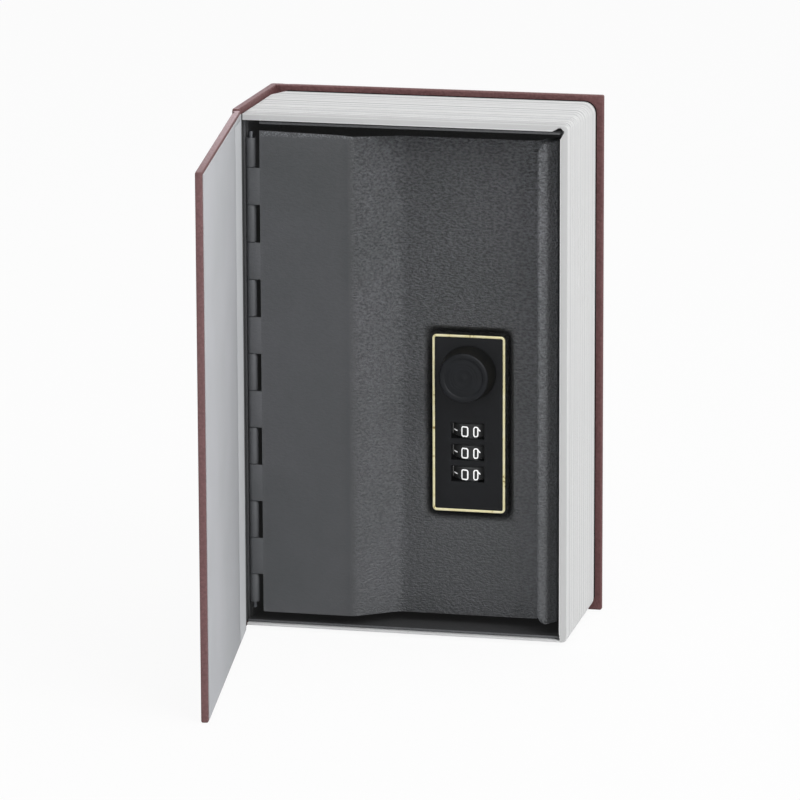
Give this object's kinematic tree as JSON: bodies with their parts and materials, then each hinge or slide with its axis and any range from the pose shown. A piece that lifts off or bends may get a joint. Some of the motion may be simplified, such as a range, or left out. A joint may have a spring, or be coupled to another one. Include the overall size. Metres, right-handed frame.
{
  "type": "book diversion safe",
  "caption": "A hollow hardback book whose cover opens on a steel box with a piano hinged door, a combination lock with number dials and a black turning knob.",
  "frame": {"origin": "bottom centre of the whole outline with the front cover open as in the picture", "axes": "+X from the spine to the fore-edge, +Y from the front cover to the back cover, +Z from the tail edge to the head edge of the book"},
  "size_m": [0.1168, 0.1694, 0.1804],
  "materials": {
    "leatherette_boards": "fine embossed book cloth over board, dull brown",
    "joint_cloth": "the same covering material, folded along the cover's hinge",
    "endpaper": "matt pale grey paper",
    "page_moulding": "matt white moulding with fine page lines",
    "powder_coated_steel": "dark grey powder coat with an orange-peel texture",
    "plated_steel": "zinc plated, slightly dull",
    "black_lock_plastic": "satin black plastic",
    "gold_trim": "polished gold coloured trim"
  },
  "bodies": {
    "book_block": {"back_board": "leatherette_boards", "back_endpaper": "endpaper", "spine_board": "leatherette_boards", "front_joint_cloth": "joint_cloth", "page_block": "page_moulding", "safe_box": "powder_coated_steel", "hinge_pin": "plated_steel", "strike": "plated_steel", "strike_rivet_1": "plated_steel", "strike_rivet_2": "plated_steel", "box_rivet_1": "plated_steel", "box_rivet_2": "plated_steel", "box_rivet_3": "plated_steel", "box_rivet_4": "plated_steel"},
    "front_cover": {"front_board": "leatherette_boards", "front_endpaper": "endpaper"},
    "door": {"door_panel": "powder_coated_steel", "lock_housing": "black_lock_plastic", "gold_bezel": "gold_trim", "lock_back_cover": "black_lock_plastic", "dial_shaft": "plated_steel", "detent_spring": "plated_steel", "plate_screw_1": "plated_steel", "plate_screw_2": "plated_steel", "lock_cover_screw_1": "plated_steel", "lock_cover_screw_2": "plated_steel"},
    "knob_and_cam": {"knob": "black_lock_plastic", "knob_shaft": "plated_steel", "cam_washer": "plated_steel", "locking_cam": "plated_steel", "cam_nut": "plated_steel"},
    "dial_one": {"dial_1": "black_lock_plastic", "code_ring_1": "plated_steel"},
    "dial_two": {"dial_2": "black_lock_plastic", "code_ring_2": "plated_steel"},
    "dial_three": {"dial_3": "black_lock_plastic", "code_ring_3": "plated_steel"},
    "reset": {"reset_lever": "plated_steel"}
  },
  "joints": [
    {"name": "cover_hinge", "type": "hinge", "parent": "book_block", "child": "front_cover", "pos_m": [-0.05725, 0.02968, 0.0902], "axis": [0, 0, -1], "range_deg": [-81.5, 98.5]},
    {"name": "door_hinge", "type": "hinge", "parent": "book_block", "child": "door", "pos_m": [-0.053, 0.03553, 0.08895], "axis": [0, 0, -1], "range_deg": [0, 80]},
    {"name": "knob_turn", "type": "hinge", "parent": "door", "child": "knob_and_cam", "pos_m": [0.02015, 0.04328, 0.09069], "axis": [0, 1, 0], "range_deg": [0, 90]},
    {"name": "dial_1_spin", "type": "hinge", "parent": "door", "child": "dial_one", "pos_m": [0.02015, 0.05049, 0.07055], "axis": [0, 0, 1], "continuous": true},
    {"name": "dial_2_spin", "type": "hinge", "parent": "door", "child": "dial_two", "pos_m": [0.02015, 0.05049, 0.06305], "axis": [0, 0, 1], "continuous": true},
    {"name": "dial_3_spin", "type": "hinge", "parent": "door", "child": "dial_three", "pos_m": [0.02015, 0.05049, 0.05556], "axis": [0, 0, 1], "continuous": true},
    {"name": "reset_slide", "type": "slide", "parent": "door", "child": "reset", "axis": [0, 0, 1], "range_m": [0, 0.0024]}
  ]
}
